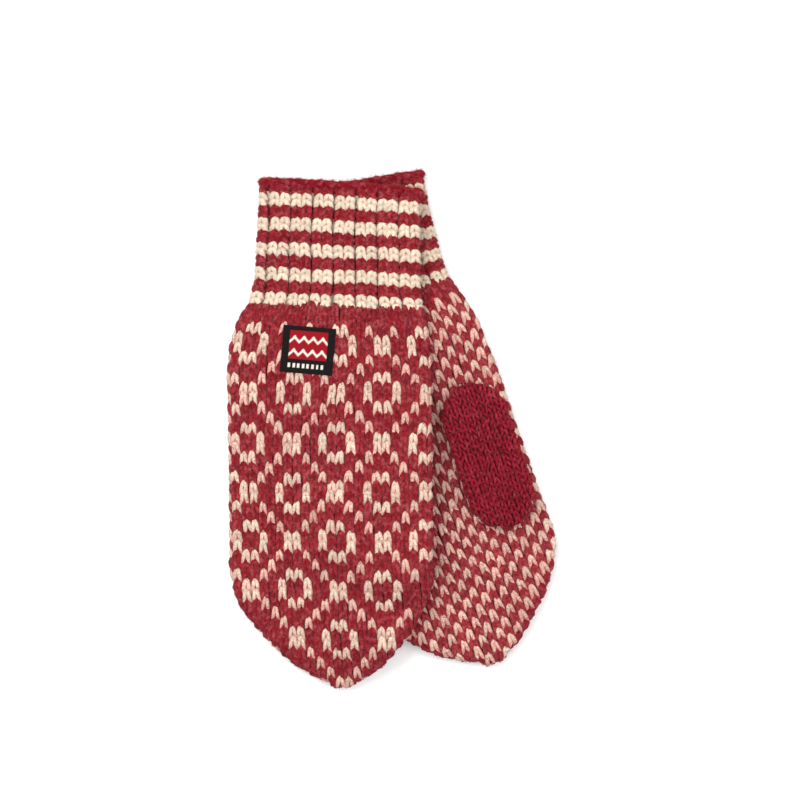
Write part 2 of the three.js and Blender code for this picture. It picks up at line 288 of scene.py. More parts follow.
class Tube:
    """Half widths and half thickness along the length, and where a point of the tube lies."""

    columns = HAND_COLUMNS

    def __init__(self, mitten):
        self.mitten = mitten
        self.sections = {}

    def half(self, sign, s):
        return half_width(self.mitten, sign, min(s, HAND_LENGTH - TIP_BLUNT))

    def deep(self, s):
        return half_thickness(min(s, HAND_LENGTH - 0.2))

    def reference(self, s):
        """The station whose width sets the columns: past it they run straight and are cut off."""
        return min(s, HAND_LENGTH - TIP_LENGTH)

    def place(self, u, s, z):
        s = min(s, HAND_LENGTH) + TIP_SQUEEZE * max(s - HAND_LENGTH, 0.0)
        x, y = plan(self.mitten, u, s)
        y = y - row_slope(self.mitten, s) * u
        y = y - RIM_CURVE * u ** 2 * min(max(-s / CUFF_LENGTH, 0.0), 1.0)
        return x, y, z + THICKNESS / 2 + lying_height(self.mitten, x, y)

    def section(self, s, inset):
        """(across, up, length so far) round the tube from the middle of the upper side."""
        key = (round(s, 3), inset)
        if key not in self.sections:
            turn = np.linspace(0.0, 2 * math.pi, 289)
            v = np.sin(turn)
            wide = np.where(v > 0, self.half(1, s), self.half(-1, s))
            across = v * np.maximum(wide - inset, 0.05)
            up = np.sign(np.cos(turn)) * crown(v) * max(self.deep(s) - inset, 0.05)
            arc = np.concatenate([[0.0], np.cumsum(np.hypot(np.diff(across), np.diff(up)))])
            self.sections[key] = (across, up, arc)
        return self.sections[key]

    def folds(self, s):
        """Lengths from the middle of the upper side to the right and the left fold, and all round."""
        arc = self.section(s, YARN_DEPTH)[2]
        return arc[72], arc[288] - arc[216], arc[288]

    def pitch(self, s):
        return self.folds(self.reference(s))[2] / self.columns

    def bow(self, s):
        return -WALE_BOW * math.sin(math.pi * min(max(s / HAND_LENGTH, 0.0), 1.0))

    def at(self, column, s, lower):
        """Length across from the middle of the upper or the lower side to a column."""
        along = column * self.pitch(s) + self.bow(s)
        return 2 * self.folds(self.reference(s))[0] - along if lower else along

    def arc_of(self, column, s, lower):
        at = self.at(column, s, lower)
        return 2 * self.folds(s)[0] - at if lower else at

    def to_fold(self, column, s, lower):
        """Length from a column to the nearer fold, negative past it."""
        right, left, _ = self.folds(s)
        at = self.at(column, s, lower)
        return min(right - at, left + at)

    def ring(self, shares, s, inset):
        """Points at shares of the way round the tube, from the middle of the upper side."""
        across, up, arc = self.section(s, inset)
        at = np.mod(shares, 1.0) * arc[-1]
        x, y, z = self.place(np.interp(at, arc, across), s, np.interp(at, arc, up))
        return np.stack([x, y, z], axis=-1)

    def points(self, columns, s, lower):
        return self.ring(self.arc_of(columns, s, lower) / self.folds(s)[2], s, YARN_DEPTH)

    def upper(self, column, s):
        """Whether a column, counted from the spine, lies on the upper side at s."""
        right, left, _ = self.folds(self.reference(s))
        return -left <= self.at(column, s, False) <= right

    def present(self, column, s, lower):
        """Whether the fabric still reaches this column, past the station where it starts to narrow."""
        if self.reference(s) == s:
            return True
        spare = 0.25 * self.pitch(s)
        return self.to_fold(column, s, lower) >= (spare if lower else -spare)


class Thumb(Tube):
    columns = THUMB_COLUMNS

    def bow(self, s):
        return 0.0

    def shrink(self, s):
        end = min(max(min(s, THUMB_LENGTH - s), 0.15), THUMB_ROUND)
        return math.sqrt(1 - (1 - end / THUMB_ROUND) ** 2)

    def half(self, sign, s):
        return THUMB_WIDTH / 2 * self.shrink(s)

    def deep(self, s):
        return THUMB_THICKNESS / 2 * self.shrink(s)

    def reference(self, s):
        return THUMB_LENGTH / 2

    def place(self, u, s, z):
        centre = self.mitten["thumb_half"] - self.mitten["thumb_inset"]
        x, y = plan(self.mitten, centre + u, THUMB_START + s)
        return x, y, z + THICKNESS + LAYER_GAP + THUMB_THICKNESS / 2


class Cuff(Tube):
    columns = CUFF_RIBS

    def bow(self, s):
        return 0.0

    def reference(self, s):
        return s


# ---------------------------------------------------------------------------
# Meshes
# ---------------------------------------------------------------------------

def new_mesh(name, vertices, faces):
    mesh = bpy.data.meshes.new(name)
    mesh.from_pydata([tuple(v) for v in vertices], [], [tuple(f) for f in faces])
    mesh.update()
    return mesh


def new_object(name, mesh):
    piece = bpy.data.objects.new(name, mesh)
    bpy.context.scene.collection.objects.link(piece)
    return piece


def to_row(points):
    """Millimetres of the design to metres of the row frame."""
    points = np.asarray(points, float).reshape(-1, 3)
    return (points + np.array([FRAME_SHIFT[0], FRAME_SHIFT[1], 0.0])) * MM


def add_attribute(mesh, name, kind, values):
    attribute = mesh.attributes.new(name, kind, "POINT")
    field = "vector" if kind == "FLOAT_VECTOR" else "value"
    attribute.data.foreach_set(field, np.asarray(values, np.float32).ravel())


def add_map(mesh, name, places):
    """A UV map that gives each vertex its place."""
    layer = mesh.uv_layers.new(name=name)
    corners = np.zeros(len(mesh.loops), np.int32)
    mesh.loops.foreach_get("vertex_index", corners)
    layer.data.foreach_set("uv", np.asarray(places, np.float32)[corners].ravel())


def grid_faces(rows, columns, start):
    """Quads of a grid of vertices, row by row, that face out of the tube."""
    faces = []
    for i in range(rows - 1):
        for j in range(columns - 1):
            a = start + i * columns + j
            faces.append((a, a + columns, a + columns + 1, a + 1))
    return faces


def surface_object(name, islands):
    """The surface that stitches are laid on. Each island is (points grid, columns map, rows map)."""
    vertices, faces, uvs = [], [], []
    for points, along_u, along_v in islands:
        rows, columns = points.shape[:2]
        faces += grid_faces(rows, columns, len(vertices))
        vertices += list(to_row(points))
        uvs += [(u / ATLAS, v / ATLAS) for v in along_v for u in along_u]
    mesh = new_mesh(name, vertices, faces)
    add_map(mesh, "stitch_map", uvs)
    normals = np.zeros(len(vertices) * 3, np.float32)
    mesh.vertex_normals.foreach_get("vector", normals)
    add_attribute(mesh, "outward", "FLOAT_VECTOR", normals)
    return new_object(name, mesh)


def face_outwards(mesh):
    """Turns a closed mesh's faces round if they enclose a negative volume."""
    mesh.calc_loop_triangles()
    volume = 0.0
    for triangle in mesh.loop_triangles:
        a, b, c = (mesh.vertices[i].co for i in triangle.vertices)
        volume += a.dot(b.cross(c))
    if volume < 0:
        mesh.flip_normals()


def stitch_mesh(name, plump=1.0, thick=1.0, reach=1.0):
    """One knit stitch: two tapered legs that meet in a round top and spread to points.

    Across and along are in columns and rows, up is in stitch widths.
    """
    centre = [(0.06, -0.52, 0.08, 0.12), (0.12, -0.26, 0.25, 0.21), (0.18, 0.08, 0.33, 0.25),
              (0.25, 0.48, 0.33, 0.25), (0.35, 0.92, 0.22, 0.19), (0.47, 1.42, 0.02, 0.05)]
    centre = [(x, reach * y, z, radius) for x, y, z, radius in centre]
    sides = 6
    vertices, faces, edge, low = [], [], [], []
    for sign in (1, -1):
        start = len(vertices)
        for k, (x, y, z, radius) in enumerate(centre):
            before = Vector(centre[max(k - 1, 0)][:3])
            after = Vector(centre[min(k + 1, len(centre) - 1)][:3])
            along = (after - before).normalized()
            side = along.cross(Vector((0, 0, 1))).normalized()
            up = side.cross(along)
            for q in range(sides):
                turn = 2 * math.pi * q / sides
                spot = Vector((x, y, z)) + side * (thick * radius * math.cos(turn))
                spot += up * (radius * 0.85 * plump * math.sin(turn))
                vertices.append((sign * spot.x, spot.y, spot.z))
                edge.append(max(0.0, (k - 2) / 3))
                # low is 1 on a leg's underside and 0 on its top: the yarn materials paint shade by it, and
                # loose fibres grow only where it is small.
                low.append((1 - math.sin(turn)) / 2)
        for k in range(len(centre) - 1):
            for q in range(sides):
                a = start + k * sides + q
                b = start + k * sides + (q + 1) % sides
                quad = (a, b, b + sides, a + sides)
                faces.append(quad if sign > 0 else quad[::-1])
        first = tuple(range(start, start + sides))
        last = tuple(start + (len(centre) - 1) * sides + q for q in range(sides))
        faces.append(first[::-1] if sign > 0 else first)
        faces.append(last if sign > 0 else last[::-1])
    mesh = new_mesh(name, vertices, faces)
    face_outwards(mesh)
    add_attribute(mesh, "edge", "FLOAT", edge)
    add_attribute(mesh, "low", "FLOAT", low)
    return mesh


def join_rings(faces, first, second, count):
    """Quads between two rings of vertices that start at first and second."""
    for j in range(count):
        k = (j + 1) % count
        faces.append((first + j, second + j, second + k, first + k))


def tube_shell(name, tube, stations, columns=96, hollow=True):
    """A closed fabric wall along a tube. A hollow one has an inside, which is open at the base."""
    vertices, faces = [], []
    shares = np.arange(columns) / columns

    def rings(places, inset):
        starts = []
        for s in places:
            starts.append(len(vertices))
            vertices.extend(to_row(tube.ring(shares, s, inset)))
        for first, second in zip(starts, starts[1:]):
            join_rings(faces, first, second, columns)
        return starts

    outer = rings(stations, SEAT)
    faces.append(tuple(reversed(range(outer[-1], outer[-1] + columns))))
    if hollow:
        inner = rings([s for s in reversed(stations) if s < HAND_LENGTH - TIP_SOLID], WALL)
        faces.append(tuple(range(inner[0], inner[0] + columns)))
        join_rings(faces, inner[-1], outer[0], columns)
    else:
        faces.append(tuple(range(columns)))
    mesh = new_mesh(name, vertices, faces)
    mesh.shade_smooth()
    return mesh


# ---------------------------------------------------------------------------
# Patterns: which stitches are cream
# ---------------------------------------------------------------------------

# Cream columns of the back's repeat of ten rows, counted from the middle of a ring, on both sides.
RING_REPEAT = [
    (1.5, 4.5), (1.5, 4.5), (0.5, 3.5), (2.5,), (1.5, 4.5),
    (0.5, 3.5), (0.5, 3.5), (1.5, 4.5), (2.5,), (0.5, 3.5),
]
RING_START = 3


def chart_column(column):
    """A column counted from the spine, from -23 to 23."""
    half = HAND_COLUMNS / 2
    return (column + half) % HAND_COLUMNS - half


def hand_cream(tube, column, row, s, lower):
    """Whether a stitch of the hand is cream, which neither the wrist's nor the fingertip's edge is."""
    if row < PLAIN_ROWS:
        return False
    palm_up = tube.mitten["palm_up"]
    chart = chart_column(column + (HAND_COLUMNS / 2 if palm_up else 0))
    if abs(chart) > BACK_COLUMNS:
        return (math.floor(chart) + row) % 2 == 0
    if tube.reference(s) != s and lower == palm_up and abs(chart) > 1:
        if tube.to_fold(column, s, lower) < PLAIN_BORDER * tube.pitch(s):
            return False
    repeat = (chart + 5) % 10 - 5
    return abs(repeat) in RING_REPEAT[(row - RING_START) % 10]


def cuff_cream(row):
    """Pairs of cream rows and pairs of red ones, and red at the rim."""
    from_hand = CUFF_ROWS - 1 - row
    return from_hand < CUFF_ROWS - 2 and from_hand % 4 < 2


def hand_stitches(tube):
    """Every stitch of the hand: column, row, lower side or not, cream or not, how alone it is."""
    pitch = HAND_LENGTH / HAND_ROWS
    stitches = []
    for row in range(HAND_ROWS):
        s = (row + ROW_MIDDLE) * pitch
        creams = {}
        for k in range(HAND_COLUMNS):
            column = k + FIRST_COLUMN
            lower = not tube.upper(column, s)
            if lower and column < 0:
                column += HAND_COLUMNS
            if tube.present(column, s, lower):
                creams[column] = (lower, hand_cream(tube, column, row, s, lower))
        for column, (lower, cream) in creams.items():
            beside = [creams.get(column + d, (0, cream))[1] for d in (-1, 1)]
            for near in (row - 1, row + 1):
                beside.append(hand_cream(tube, column, near, (near + ROW_MIDDLE) * pitch, lower))
            alone = 0.15 if cream in beside else 1.0
            stitches.append((column, row, lower, cream, alone))
    return stitches


def point_cloud(name, rows, rng, wide=1.0):
    """A mesh of loose points, one for each stitch, with its size, tone and blush."""
    places, sizes, turns, tones, blushes = [], [], [], [], []
    for column, row, lower, cream, alone in rows:
        offset = ATLAS_FAR if lower else ATLAS_LOW
        jitter = rng.normal(0.0, 0.03, 2)
        jitter[0] += WAVER * math.sin(0.55 * row + 0.4 * column / wide)
        jitter[1] += WAVER * math.sin(0.5 * column / wide + 0.25 * row)
        places.append((column + offset + jitter[0] * wide, row + ATLAS_ROW + jitter[1], 0.0))
        fit = 1.08 - (0.10 * alone if cream else 0.0)
        sizes.append((wide * fit * (1.0 + rng.normal(0.0, 0.04)), 1.0 + rng.normal(0.0, 0.07),
                      1.0 + rng.normal(0.0, 0.08)))
        turns.append((0.0, 0.0, rng.normal(0.0, 0.07) * wide))
        tones.append(rng.uniform(0.0, 1.0))
        blushes.append(min(1.0, 0.7 * alone + rng.uniform(0.0, 0.4)))
    mesh = new_mesh(name, places, [])
    add_attribute(mesh, "size", "FLOAT_VECTOR", sizes)
    add_attribute(mesh, "turn", "FLOAT_VECTOR", turns)
    add_attribute(mesh, "tone", "FLOAT", tones)
    add_attribute(mesh, "blush", "FLOAT", blushes)
    return mesh


# ---------------------------------------------------------------------------
# Nodes, of the knitting and of the materials
# ---------------------------------------------------------------------------

def adder(tree):
    """A function that adds a node to the tree. i0, i1 and so on name an input by its place."""
    def add(kind, settings=None, **inputs):
        node = tree.nodes.new(kind)
        for key, value in (settings or {}).items():
            setattr(node, key, value)
        for key, value in inputs.items():
            socket = node.inputs[int(key[1:])] if key[1:].isdigit() else node.inputs[key]
            if isinstance(value, bpy.types.NodeSocket):
                tree.links.new(value, socket)
            else:
                socket.default_value = value
        return node
    return add


def arithmetic(add, operation, a, b, clamp=True):
    settings = {"operation": operation, "use_clamp": clamp}
    return add("ShaderNodeMath", settings, i0=a, i1=b).outputs[0]


# ---------------------------------------------------------------------------
# Geometry Nodes: stitches laid out flat, then wrapped onto a surface
# ---------------------------------------------------------------------------

def named(add, name, kind="FLOAT_VECTOR"):
    return add("GeometryNodeInputNamedAttribute", {"data_type": kind}, Name=name).outputs["Attribute"]


def group_tree(name, inputs):
    """A new tree with a mesh in and out and the inputs given, what comes in, and a node adder."""
    tree = bpy.data.node_groups.new(name, "GeometryNodeTree")
    for label, kind in (("Geometry", "Geometry"),) + inputs + (("Material", "Material"),):
        tree.interface.new_socket(label, in_out="INPUT", socket_type="NodeSocket" + kind)
    tree.interface.new_socket("Geometry", in_out="OUTPUT", socket_type="NodeSocketGeometry")
    add = adder(tree)
    return tree, add("NodeGroupInput").outputs, add


def finish_tree(tree, given, add, last):
    paint = add("GeometryNodeSetMaterial", Geometry=last.outputs["Geometry"], Material=given["Material"])
    add("NodeGroupOutput", Geometry=paint.outputs["Geometry"])
    return tree


def wrap_tree():
    """Puts a stitch on each point of the flat map and bends the lot onto the surface."""
    inputs = (("Stitch", "Object"), ("Surface", "Object"), ("Stitch Width", "Float"))
    tree, given, add = group_tree("wrap_stitches", inputs)
    stitch = add("GeometryNodeObjectInfo", Object=given["Stitch"])
    surface = add("GeometryNodeObjectInfo", Object=given["Surface"])
    lean = add("FunctionNodeEulerToRotation", i0=named(add, "turn"))
    laid = add("GeometryNodeInstanceOnPoints", Points=given["Geometry"], Scale=named(add, "size"),
               Instance=stitch.outputs["Geometry"], Rotation=lean.outputs[0])
    real = add("GeometryNodeRealizeInstances", Geometry=laid.outputs["Instances"])
    spot = add("GeometryNodeInputPosition").outputs["Position"]
    split = add("ShaderNodeSeparateXYZ", Vector=spot).outputs
    flat = add("ShaderNodeCombineXYZ", X=arithmetic(add, "DIVIDE", split["X"], ATLAS, False),
               Y=arithmetic(add, "DIVIDE", split["Y"], ATLAS, False)).outputs["Vector"]

    def sampled(value):
        sample = add("GeometryNodeSampleUVSurface", {"data_type": "FLOAT_VECTOR"},
                     Mesh=surface.outputs["Geometry"], Value=value, **{"Sample UV": flat})
        chart = next(i for i in sample.inputs if i.name in ("UV Map", "Source UV Map"))
        tree.links.new(named(add, "stitch_map"), chart)
        return next(o for o in sample.outputs if o.name == "Value" and o.enabled)

    height = arithmetic(add, "MULTIPLY", split["Z"], given["Stitch Width"], False)
    lift = add("ShaderNodeVectorMath", {"operation": "SCALE"}, i0=sampled(named(add, "outward")),
               Scale=height)
    place = add("ShaderNodeVectorMath", {"operation": "ADD"}, i0=sampled(spot), i1=lift.outputs[0])
    move = add("GeometryNodeSetPosition", Geometry=real.outputs["Geometry"], Position=place.outputs[0])
    shade = add("GeometryNodeSetShadeSmooth", Geometry=move.outputs["Geometry"])
    return finish_tree(tree, given, add, shade)


def fuzz_tree():
    """Scatters short fibres over the outside of a mesh, standing out of it at random angles."""
    inputs = (("Fibre", "Object"), ("Density", "Float"), ("Seed", "Int"))
    tree, given, add = group_tree("scatter_fibres", inputs)
    spot = add("GeometryNodeInputPosition").outputs["Position"]
    height = add("ShaderNodeSeparateXYZ", Vector=spot).outputs["Z"]
    outer = arithmetic(add, "LESS_THAN", named(add, "low", "FLOAT"), 0.45, False)
    clear = arithmetic(add, "GREATER_THAN", height, FIBRE_CLEAR * MM, False)
    where = arithmetic(add, "MULTIPLY", outer, clear, False)
    density = arithmetic(add, "MULTIPLY", given["Density"], where, False)
    scatter = add("GeometryNodeDistributePointsOnFaces", Mesh=given["Geometry"], Density=density,
                  Seed=given["Seed"])
    fibre = add("GeometryNodeObjectInfo", Object=given["Fibre"])
    spin = add("FunctionNodeRandomValue", {"data_type": "FLOAT_VECTOR"}, i0=FIBRE_TILT[0],
               i1=FIBRE_TILT[1], Seed=given["Seed"])
    tilt = add("FunctionNodeEulerToRotation", i0=spin.outputs[0])
    turn = add("FunctionNodeRotateRotation", {"rotation_space": "LOCAL"},
               i0=scatter.outputs["Rotation"], i1=tilt.outputs[0])
    size = add("FunctionNodeRandomValue", {"data_type": "FLOAT"}, i2=0.5, i3=1.3)
    laid = add("GeometryNodeInstanceOnPoints", Points=scatter.outputs["Points"],
               Instance=fibre.outputs["Geometry"], Rotation=turn.outputs[0], Scale=size.outputs[1])
    real = add("GeometryNodeRealizeInstances", Geometry=laid.outputs["Instances"])
    return finish_tree(tree, given, add, real)


def tree_named(name, build):
    return bpy.data.node_groups.get(name) or build()


def evaluated(name, holder, tree, inputs):
    """Runs a tree on an object and returns a plain object with the result."""
    modifier = holder.modifiers.new("knit", "NODES")
    modifier.node_group = tree
    for item in tree.interface.items_tree:
        if item.item_type == "SOCKET" and item.in_out == "INPUT" and item.name in inputs:
            modifier[item.identifier] = inputs[item.name]
    graph = bpy.context.evaluated_depsgraph_get()
    mesh = bpy.data.meshes.new_from_object(holder.evaluated_get(graph), depsgraph=graph)
    holder.modifiers.clear()
    mesh.name = name
    return new_object(name, mesh)


def discard(*helpers):
    for helper in helpers:
        mesh = helper.data
        bpy.data.objects.remove(helper)
        bpy.data.meshes.remove(mesh)


def knit(name, rows, surface, material, seed, stitch_width, wide=1.0, **shape):
    """One plain mesh of stitches wrapped on a surface, in one yarn."""
    rng = np.random.default_rng(seed)
    holder = new_object(name + "_points", point_cloud(name + "_points", rows, rng, wide))
    template = new_object(name + "_stitch", stitch_mesh(name + "_stitch", **shape))
    inputs = {"Stitch": template, "Surface": surface, "Material": material,
              "Stitch Width": stitch_width * MM}
    piece = evaluated(name, holder, tree_named("wrap_stitches", wrap_tree), inputs)
    discard(holder, template)
    for vertex in piece.data.vertices:
        if vertex.co.z < FLOOR_PRESS * MM:
            vertex.co.z = (FLOOR_PRESS + FLOOR_GIVE * (vertex.co.z / MM - FLOOR_PRESS)) * MM
    return piece


# ---------------------------------------------------------------------------
# Materials
# ---------------------------------------------------------------------------

def node_kit(name):
    """A new material with its nodes, its shader and a helper that adds a node."""
    material = bpy.data.materials.get(name)
    if material:
        bpy.data.materials.remove(material)
    material = bpy.data.materials.new(name)
    material.use_nodes = True
    tree = material.node_tree
    return material, tree, tree.nodes["Principled BSDF"], adder(tree)


def attribute(add, name):
    return add("ShaderNodeAttribute", {"attribute_name": name}).outputs["Fac"]


def blend_colour(add, factor, a, b):
    return add("ShaderNodeMix", {"data_type": "RGBA"}, i0=factor, i6=a, i7=b).outputs[2]


def finish_wool(tree, shader, add, colour, place, bump_strength):
    """Fibre bump, roughness and the soft sheen that every wool here has."""
    fibre = add("ShaderNodeTexNoise", Vector=place, Scale=2600.0, Detail=3.0, Roughness=0.65)
    strand = add("ShaderNodeTexNoise", Vector=place, Scale=900.0, Detail=2.0, Distortion=1.6)
    both = arithmetic(add, "MULTIPLY", fibre.outputs[0], strand.outputs[0])
    bump = add("ShaderNodeBump", Height=both, Strength=bump_strength, Distance=0.0012)
    tree.links.new(colour, shader.inputs["Base Color"])
    tree.links.new(bump.outputs[0], shader.inputs["Normal"])
    shader.inputs["Roughness"].default_value = 0.95
    shader.inputs["Specular IOR Level"].default_value = 0.04
    shader.inputs["Sheen Weight"].default_value = 0.03
    shader.inputs["Sheen Roughness"].default_value = 0.55


def yarn_material(name, core, deep, halo, shares, furrow, felting):
    """Wool yarn. shares: how far the halo colour goes at the tips, at the sides and on a lone stitch.
    furrow: how far the painted shade on the yarn's undersides goes.
    """
    material, tree, shader, add = node_kit(name)
    tip_share, side_share, lone_share = shares
    place = add("ShaderNodeTexCoord").outputs["Object"]
    mottle = add("ShaderNodeTexNoise", Vector=place, Scale=620.0, Detail=4.0, Roughness=0.7)
    ramp = add("ShaderNodeMapRange", i0=mottle.outputs[0], i1=0.38, i2=0.62, i3=0.0, i4=1.0)
    colour = blend_colour(add, ramp.outputs[0], deep, core)
    # Painted shade: the undersides of the legs (the "low" attribute), where shade falls between stitches,
    # are darkened towards the deep colour by furrow.
    side = add("ShaderNodeMapRange", i0=attribute(add, "low"), i1=0.12, i2=0.50, i3=0.0, i4=1.0)
    colour = blend_colour(add, arithmetic(add, "MULTIPLY", side.outputs[0], furrow), colour, deep)
    pull = arithmetic(add, "ADD", arithmetic(add, "MULTIPLY", attribute(add, "edge"), tip_share),
                      arithmetic(add, "MULTIPLY", attribute(add, "blush"), lone_share))
    pull = arithmetic(add, "ADD", pull, arithmetic(add, "MULTIPLY", side.outputs[0], side_share))
    fleck = add("ShaderNodeTexNoise", Vector=place, Scale=1300.0, Detail=2.0)
    spots = add("ShaderNodeMapRange", i0=fleck.outputs[0], i1=0.35, i2=0.65, i3=0.35, i4=1.65)
    cloud = add("ShaderNodeTexNoise", Vector=place, Scale=360.0, Detail=3.0, Roughness=0.6)
    felt = add("ShaderNodeMapRange", i0=cloud.outputs[0], i1=0.50, i2=0.68, i3=0.0, i4=felting)
    pull = arithmetic(add, "ADD", arithmetic(add, "MULTIPLY", pull, spots.outputs[0]), felt.outputs[0])
    pull = arithmetic(add, "MINIMUM", pull, 0.85)
    colour = blend_colour(add, pull, colour, halo)
    tone = add("ShaderNodeMapRange", i0=attribute(add, "tone"), i1=0.0, i2=1.0, i3=0.90, i4=1.08)
    colour = add("ShaderNodeHueSaturation", Value=tone.outputs[0], Color=colour).outputs[0]
    finish_wool(tree, shader, add, colour, place, 0.9)
    return material


def fabric_material(name, base, stripe=None):
    """The knitting seen between and behind the stitches, with the cuff's stripes if it has them."""
    material, tree, shader, add = node_kit(name)
    place = add("ShaderNodeTexCoord").outputs["Object"]
    mottle = add("ShaderNodeTexNoise", Vector=place, Scale=500.0, Detail=3.0)
    shade = blend_colour(add, mottle.outputs[0], tuple(0.55 * c for c in base[:3]) + (1.0,), base)
    if stripe:
        mask = add("ShaderNodeMapRange", i0=attribute(add, "stripe"), i1=0.4, i2=0.6, i3=0.0, i4=1.0)
        shade = blend_colour(add, mask.outputs[0], shade, stripe)
    finish_wool(tree, shader, add, shade, place, 1.0)
    return material


def label_material(name):
    """Tight twill, in the colours that the label's mesh carries, with painted light and shade on its
    threads.
    """
    material, tree, shader, add = node_kit(name)
    colour = add("ShaderNodeAttribute", {"attribute_name": "woven"}).outputs["Color"]
    chart = add("ShaderNodeUVMap", {"uv_map": "label_map"}).outputs[0]
    waves = []
    for direction in ("X", "Y"):
        wave = add("ShaderNodeTexWave", {"bands_direction": direction}, Vector=chart, Scale=22.0)
        waves.append(wave.outputs["Fac"])
    weave = arithmetic(add, "MULTIPLY", waves[0], waves[1])
    bump = add("ShaderNodeBump", Height=weave, Strength=0.6, Distance=0.0002)
    # Painted light and shade on the weave: its low threads are darkened and its high threads lightened,
    # following the bump's relief.
    weave_light_and_shade = add("ShaderNodeMapRange", i0=weave, i1=0.0, i2=1.0, i3=0.75, i4=1.1)
    shade = add("ShaderNodeHueSaturation", Value=weave_light_and_shade.outputs[0], Color=colour).outputs[0]
    tree.links.new(shade, shader.inputs["Base Color"])
    tree.links.new(bump.outputs[0], shader.inputs["Normal"])
    shader.inputs["Roughness"].default_value = 0.8
    shader.inputs["Specular IOR Level"].default_value = 0.05
    return material


def plain_material(name, colour, roughness):
    material, tree, shader, add = node_kit(name)
    place = add("ShaderNodeTexCoord").outputs["Object"]
    grain = add("ShaderNodeTexNoise", Vector=place, Scale=40.0, Detail=2.0)
    shade = blend_colour(add, grain.outputs[0], tuple(0.985 * c for c in colour[:3]) + (1.0,), colour)
    tree.links.new(shade, shader.inputs["Base Color"])
    shader.inputs["Roughness"].default_value = roughness
    return material


# ---------------------------------------------------------------------------
# Settings that a user would change
# ---------------------------------------------------------------------------

def colour_property(name, description, rgb):
    return bpy.props.FloatVectorProperty(name=name, description=description, default=linear(*rgb),
                                         subtype="COLOR", size=4, min=0.0, max=1.0)


class MittenYarn(bpy.types.PropertyGroup):
    """Colours of the wool."""

    # Each deep colour is the wool's dark mottle and also the painted shade on the undersides of its
    # stitches.
    red: colour_property("Red", "Main colour of the hands and cuffs", (152, 24, 38))
    red_deep: colour_property("Deep Red", "Red wool where it is darkest", (88, 2, 12))
    red_halo: colour_property("Red Halo", "Red wool at the fuzzy edge of a stitch", (182, 88, 92))
    cream: colour_property("Cream", "Colour of the pattern", (232, 220, 198))
    cream_deep: colour_property("Deep Cream", "Cream wool where it is darkest", (212, 198, 174))
    cream_halo: colour_property("Cream Halo", "Cream wool blushed by red fibres", (206, 120, 118))
    thumb: colour_property("Thumb", "Colour of the plain thumbs", (158, 24, 48))
    thumb_deep: colour_property("Deep Thumb", "Thumb wool where it is darkest", (96, 2, 16))


class MittenStitches(bpy.types.PropertyGroup):
    """How the stitches stand."""

    hand_width: bpy.props.FloatProperty(name="Hand Stitch", description="Width of a stitch on the hand, mm",
                                        default=4.8, min=2.0, max=8.0)
    cuff_width: bpy.props.FloatProperty(name="Cuff Stitch", description="Width of a stitch on the cuff, mm",
                                        default=4.4, min=2.0, max=8.0)
    thumb_width: bpy.props.FloatProperty(name="Thumb Stitch", description="Width of a thumb stitch, mm",
                                         default=3.7, min=2.0, max=8.0)
    fuzz: bpy.props.FloatProperty(name="Fuzz", description="Loose fibres to the square metre",
                                  default=1000000.0, min=0.0, max=2000000.0)


# ---------------------------------------------------------------------------
# Pieces
# ---------------------------------------------------------------------------

def two_sided_surface(name, tube, pitch, rows, spans):
    """A surface of two islands. spans: the first and last column of the upper and the lower side."""
    islands = []
    for lower, (low, high), offset in zip((False, True), spans, (ATLAS_LOW, ATLAS_FAR)):
        columns = np.arange(low, high + 0.1, 0.5)
        grid = np.array([tube.points(columns, row * pitch, lower) for row in rows])
        islands.append((grid, columns + offset, rows + ATLAS_ROW))
    return surface_object(name, islands)


def rib_dip(columns):
    """1 at the bottom of the furrow between two ribs, 0 on the ribs."""
    from_furrow = (np.mod(columns, 1.0) - 0.5) / RIB_DIP_WIDTH
    return np.exp(-from_furrow ** 2)


def cuff_ring(tube, shares, s, inset):
    """A ring of the cuff with its furrows. Below the rim it turns in over the edge."""
    beyond = max(0.0, -CUFF_LENGTH - s)
    if beyond > 0.0:
        turn = min(beyond / (CUFF_LENGTH / CUFF_ROWS), 1.0) * math.pi / 2
        s = -CUFF_LENGTH - RIM_TURN * math.sin(turn)
        inset += RIM_TURN * (1 - math.cos(turn))
    inset += CUFF_INSET * float(smooth(-s / 12.0))
    high = tube.ring(shares, s, inset)
    low = tube.ring(shares, s, inset + RIB_DIP)
    dip = rib_dip(shares * CUFF_RIBS - CUFF_TURN)[:, None] * float(smooth((s + CUFF_LENGTH - 1.0) / 8.0))
    return high + (low - high) * dip


def cuff_surface(mitten, tube):
    pitch = CUFF_LENGTH / CUFF_ROWS
    rows = np.arange(-1.5, CUFF_ROWS + 2.1, 0.5)
    columns = np.arange(-1.0, CUFF_RIBS + 0.51, 0.1)
    shares = (columns + CUFF_TURN) / CUFF_RIBS
    grid = [cuff_ring(tube, shares, (row + 0.2) * pitch - CUFF_LENGTH, YARN_DEPTH) for row in rows]
    island = (np.array(grid), columns + ATLAS_LOW, rows + ATLAS_ROW)
    return surface_object(mitten["name"] + "_cuff_surface", [island])


